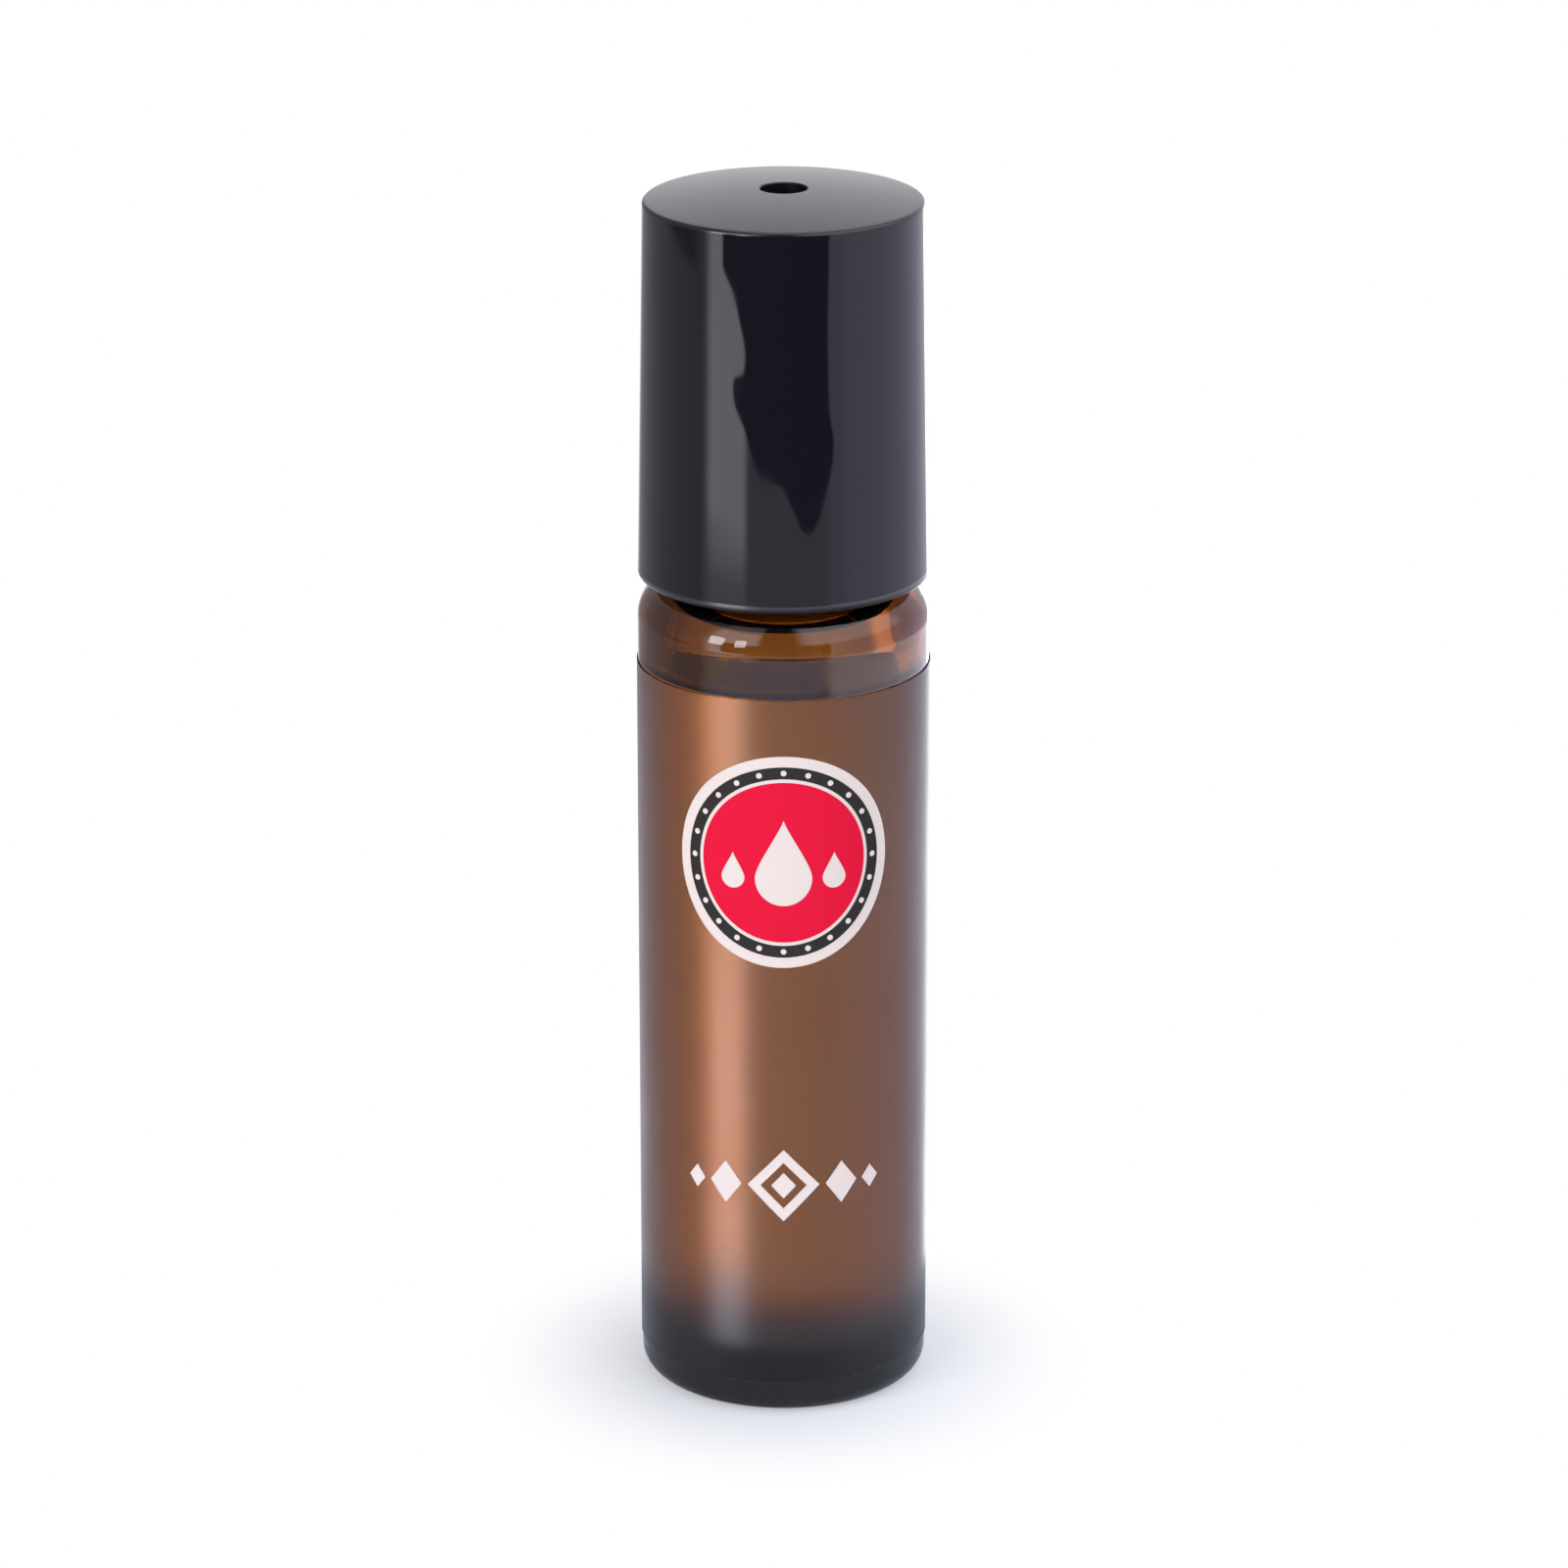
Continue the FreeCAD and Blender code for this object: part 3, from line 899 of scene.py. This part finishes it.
skirt_roughness = add(tree, "ShaderNodeMapRange", {}, {
    "Value": rubbed.outputs["Fac"], "From Min": 0.45, "From Max": 0.75, "To Min": 0.012, "To Max": 0.03,
})
roughness = add(tree, "ShaderNodeMix", {"data_type": "FLOAT"}, {
    "Factor": dull.outputs[0], "A": skirt_roughness.outputs["Result"], "B": satin_roughness,
})
surface = add(tree, "ShaderNodeBsdfPrincipled", {}, {
    "Base Color": colour("0E0A13"),
    "Roughness": roughness.outputs["Result"],
    "IOR": 1.5,
    "Normal": blast_bump.outputs["Normal"],
})
add(tree, "ShaderNodeOutputMaterial", {}, {"Surface": surface.outputs["BSDF"]})
cap.data.materials.append(black_polypropylene)
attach(cap, "cap")
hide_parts("cap_shell")

# The table
# A small pale disc under the bottle. It takes the bottle's shadow. For the camera and for light through
# the glass it glows white at strength 1, like the background: 0.4 of that painted glow shows even under
# the bottle, which pales the shadow there, and away from the bottle it turns all white.
table_radius = 23 * mm
shadow_reach = 8 * mm
white_reach_share = 0.97
# So much of the white glow is painted even under the bottle, which pales its shadow
white_under_bottle = 0.4
bpy.ops.object.select_all(action="DESELECT")
bpy.ops.mesh.primitive_circle_add(vertices=128, radius=table_radius, fill_type="NGON")
table = bpy.context.object
table.name = "table"
pale_table, tree = new_material("pale table top")
place = add(tree, "ShaderNodeTexCoord").outputs["Object"]
off_centre = add(tree, "ShaderNodeVectorMath", {"operation": "LENGTH"}, {0: place})
fade = add(tree, "ShaderNodeMapRange", {"interpolation_type": "SMOOTHSTEP"}, {
    "Value": off_centre.outputs["Value"],
    "From Min": shadow_reach, "From Max": table_radius * white_reach_share,
    "To Min": white_under_bottle, "To Max": 1,
})
seen = add(tree, "ShaderNodeLightPath")
seen_clearly = add(tree, "ShaderNodeMath", {"operation": "MAXIMUM"}, {
    0: seen.outputs["Is Camera Ray"], 1: seen.outputs["Is Transmission Ray"],
})
turned_white = add(tree, "ShaderNodeMath", {"operation": "MULTIPLY"}, {
    0: fade.outputs["Result"], 1: seen_clearly.outputs[0],
})
board = add(tree, "ShaderNodeBsdfDiffuse", {}, {"Color": colour("CBD2DE")})
# A painted white glow, no lamp, that the camera and light through the glass see
white = add(tree, "ShaderNodeEmission", {}, {"Color": (1, 1, 1, 1), "Strength": 1.0})
blend = add(tree, "ShaderNodeMixShader", {}, {
    0: turned_white.outputs[0], 1: board.outputs["BSDF"], 2: white.outputs["Emission"],
})
add(tree, "ShaderNodeOutputMaterial", {}, {"Surface": blend.outputs["Shader"]})
table.data.materials.append(pale_table)

# The light
# A bright window in two panes stands to the left of the camera in a plain white room. The camera
# side is dark, the far left is dim, and the table reaches far out and is well lit.


def toward(azimuth, elevation):
    """The direction that lies so many degrees right of the camera and above the horizon."""
    turn = math.radians(azimuth)
    lift = math.radians(elevation)
    return Vector((math.sin(turn) * math.cos(lift), -math.cos(turn) * math.cos(lift), math.sin(lift)))


pane_elevation = 15
pane_distance = 600 * mm
pane_height = 200 * mm
pane_radiance = 8.5


def window_pane(name, azimuth, width):
    """A rectangular soft lamp that faces the middle of the bottle."""
    way = toward(azimuth, pane_elevation)
    middle = Vector((0, 0, cap_top / 2))
    bpy.ops.object.select_all(action="DESELECT")
    bpy.ops.object.light_add(type="AREA", location=middle + way * pane_distance)
    lamp = bpy.context.object
    lamp.name = name
    lamp.rotation_euler = way.to_track_quat("Z", "Y").to_euler()
    lamp.data.shape = "RECTANGLE"
    lamp.data.size = width
    lamp.data.size_y = pane_height
    lamp.data.energy = pane_radiance * math.pi * width * pane_height
    lamp.visible_camera = False


window_pane("window_pane_left", -54, 130 * mm)
window_pane("window_pane_right", -34, 90 * mm)

world = bpy.data.worlds.new("white_room")
bpy.context.scene.world = world
world.use_nodes = True
tree = world.node_tree
tree.nodes.clear()
way = add(tree, "ShaderNodeTexCoord").outputs["Generated"]
parts = add(tree, "ShaderNodeSeparateXYZ", {}, {"Vector": way})
backward = add(tree, "ShaderNodeMath", {"operation": "MULTIPLY"}, {0: parts.outputs["Y"], 1: -1})
azimuth = add(tree, "ShaderNodeMath", {"operation": "ARCTAN2"}, {
    0: parts.outputs["X"], 1: backward.outputs[0],
})
azimuth = add(tree, "ShaderNodeMath", {"operation": "DEGREES"}, {0: azimuth.outputs[0]}).outputs[0]
lift = add(tree, "ShaderNodeMath", {"operation": "ARCSINE"}, {0: parts.outputs["Z"]})
lift = add(tree, "ShaderNodeMath", {"operation": "DEGREES"}, {0: lift.outputs[0]}).outputs[0]


def within(tree, angle, first, last, blur):
    """1 between two angles and 0 outside them, with soft edges; all in degrees."""
    sides = []
    for edge, inside in [(first, 1), (last, -1)]:
        side = add(tree, "ShaderNodeMapRange", {"interpolation_type": "SMOOTHSTEP"}, {
            "Value": angle, "From Min": edge - inside * blur, "From Max": edge + inside * blur,
        })
        sides.append(side.outputs["Result"])
    both = add(tree, "ShaderNodeMath", {"operation": "MULTIPLY"}, {0: sides[0], 1: sides[1]})
    return both.outputs[0]


def patch(below, azimuths, lifts, brightness, side_blur, lift_blur):
    """Paints one part of the room over what is below."""
    across = within(tree, azimuth, *azimuths, side_blur)
    up = within(tree, lift, *lifts, lift_blur)
    share = add(tree, "ShaderNodeMath", {"operation": "MULTIPLY"}, {0: across, 1: up})
    painted = add(tree, "ShaderNodeMix", {"data_type": "RGBA"}, {
        "Factor": share.outputs[0], "A": below, "B": tuple(brightness) + (1,),
    })
    return painted.outputs["Result"]


room = (1.0, 0.99, 1.04, 1)
# The parts of the room, each over those before it: its first and last azimuth, its lowest and
# highest elevation, its colour, and how far its sides and its foot and top blur
room_parts = [
    # The back wall over the table, on both sides of 180 degrees
    ((120, 200), (-6, 100), (1.28, 1.26, 1.33), 4, 1),
    ((-200, -120), (-6, 100), (1.28, 1.26, 1.33), 4, 1),
    # The dim far left, the right, the dark camera side and the ceiling
    ((-165, -64), (-100, 100), (0.42, 0.41, 0.44), 8, 1),
    ((37, 148), (-100, 100), (1.0, 1.0, 1.22), 8, 1),
    ((-21, 37), (-18, 100), (0.08, 0.08, 0.09), 2, 0.15),
    ((-200, 200), (70, 100), (1.5, 1.5, 1.5), 4, 6),
    # A pale wall high up before the bottle on its right
    ((15, 110), (15, 65), (2.1, 2.1, 2.3), 8, 6),
    # The window's dim part and, before the camera, the table's far end with its bluish edge
    ((-62, -21), (-15.2, 45), (2.6, 2.5, 2.65), 5, 0.45),
    ((-30, 38), (-17, -12), (0.65, 0.62, 0.72), 4, 0.2),
    ((36, 50), (-17, -12), (0.82, 0.8, 0.95), 8, 0.2),
    ((-64, 38), (-18.9, -18), (0.6, 0.9, 1.35), 4, 0.15),
    # The table nearer the bottle, brighter to the right, and the window's glare on it
    ((-165, -64), (-100, -18.7), (1.2, 1.16, 1.3), 8, 0.2),
    ((-64, 37), (-100, -18.7), (3.4, 3.5, 4.3), 8, 0.2),
    ((37, 165), (-100, -17), (1.9, 1.9, 2.2), 8, 0.3),
    ((30, 92), (-100, -18.7), (2.9, 2.8, 3.2), 8, 0.3),
    ((-28, 165), (-100, -22), (1.4, 1.35, 1.5), 8, 1),
    ((-57, -31), (-23, -19.6), (14.5, 15.5, 17.5), 4, 0.8),
    # Close to the bottle the table is dimmer
    ((-165, -62), (-100, -24), (0.9, 0.87, 0.95), 8, 2),
    ((-28, 165), (-100, -24), (0.9, 0.87, 0.95), 8, 2),
    ((-200, 200), (-100, -40), (0.4, 0.39, 0.42), 8, 3),
    # A bright strip of the table behind the bottle, and something dark at the far left
    ((157, 169), (-38, 0), (3.6, 3.6, 3.6), 2, 1),
    ((-104, -74), (-12.9, -8), (0.15, 0.15, 0.17), 7, 0.15),
]
for part in room_parts:
    room = patch(room, *part)

# Something dark stands before the table. Its sides are uneven and lean together at its foot: the
# points are shares of the way down, and of the way across from dark_left to dark_right.
dark_top, dark_foot = -12.61, -14.9
dark_left, dark_right = -50, 41
dark_side_blur = 1.5
dark_foot_blur = 0.05
dark_reach_up = 12
far_round = 300
dark_left_side = [
    (0, 0), (0.16, 0.145), (0.38, 0.203), (0.43, 0.107), (0.64, 0.222),
    (0.77, 0.338), (0.8, 0.532), (0.9, 0.629), (0.97, 0.687), (1, 0.76),
]
dark_right_side = [(0, 0.95), (0.5, 0.95), (0.71, 0.99), (0.86, 0.93), (0.97, 0.83), (1, 0.78)]
down = add(tree, "ShaderNodeMapRange", {}, {
    "Value": lift, "From Min": dark_top, "From Max": dark_foot,
})


def past_side(tree, shares):
    """1 to the right of an uneven side of the dark thing and 0 to its left."""
    side = add(tree, "ShaderNodeFloatCurve", {}, {"Value": down.outputs["Result"]})
    curve = side.mapping.curves[0]
    curve.points[0].location = shares[0]
    curve.points[1].location = shares[-1]
    for knot in shares[1:-1]:
        curve.points.new(*knot)
    side.mapping.update()
    edge = add(tree, "ShaderNodeMath", {"operation": "MULTIPLY_ADD"}, {
        0: side.outputs["Value"], 1: dark_right - dark_left, 2: dark_left,
    })
    past = add(tree, "ShaderNodeMath", {"operation": "SUBTRACT"}, {0: azimuth, 1: edge.outputs[0]})
    return within(tree, past.outputs[0], 0, far_round, dark_side_blur)


past_left = past_side(tree, dark_left_side)
past_right = past_side(tree, dark_right_side)
between = add(tree, "ShaderNodeMath", {"operation": "SUBTRACT"}, {0: past_left, 1: past_right})
above_foot = within(tree, lift, dark_foot, dark_reach_up, dark_foot_blur)
dark_share = add(tree, "ShaderNodeMath", {"operation": "MULTIPLY"}, {
    0: between.outputs[0], 1: above_foot,
})
room = add(tree, "ShaderNodeMix", {"data_type": "RGBA"}, {
    "Factor": dark_share.outputs[0], "A": room, "B": (0.1, 0.1, 0.12, 1),
}).outputs["Result"]
seen = add(tree, "ShaderNodeLightPath")
backdrop = add(tree, "ShaderNodeMix", {"data_type": "RGBA"}, {
    "Factor": seen.outputs["Is Camera Ray"], "A": room, "B": (1, 1, 1, 1),
})
glow = add(tree, "ShaderNodeBackground", {}, {"Color": backdrop.outputs["Result"], "Strength": 1.0})
add(tree, "ShaderNodeOutputWorld", {}, {"Surface": glow.outputs["Background"]})

# The camera
# It looks down at the bottle from the front with a long lens.
camera_data = bpy.data.cameras.new("camera")
camera = bpy.data.objects.new("camera", camera_data)
bpy.context.scene.collection.objects.link(camera)
bpy.context.scene.camera = camera
camera_pitch = 19.06
camera.location = (0.03 * mm, -420.9 * mm, 188.6 * mm)
camera.rotation_euler = (math.radians(90 - camera_pitch), 0, 0)
camera_data.sensor_width = 36
camera_data.lens = 147.85
camera_data.clip_start = 10 * mm
bpy.context.scene.view_settings.view_transform = "Standard"
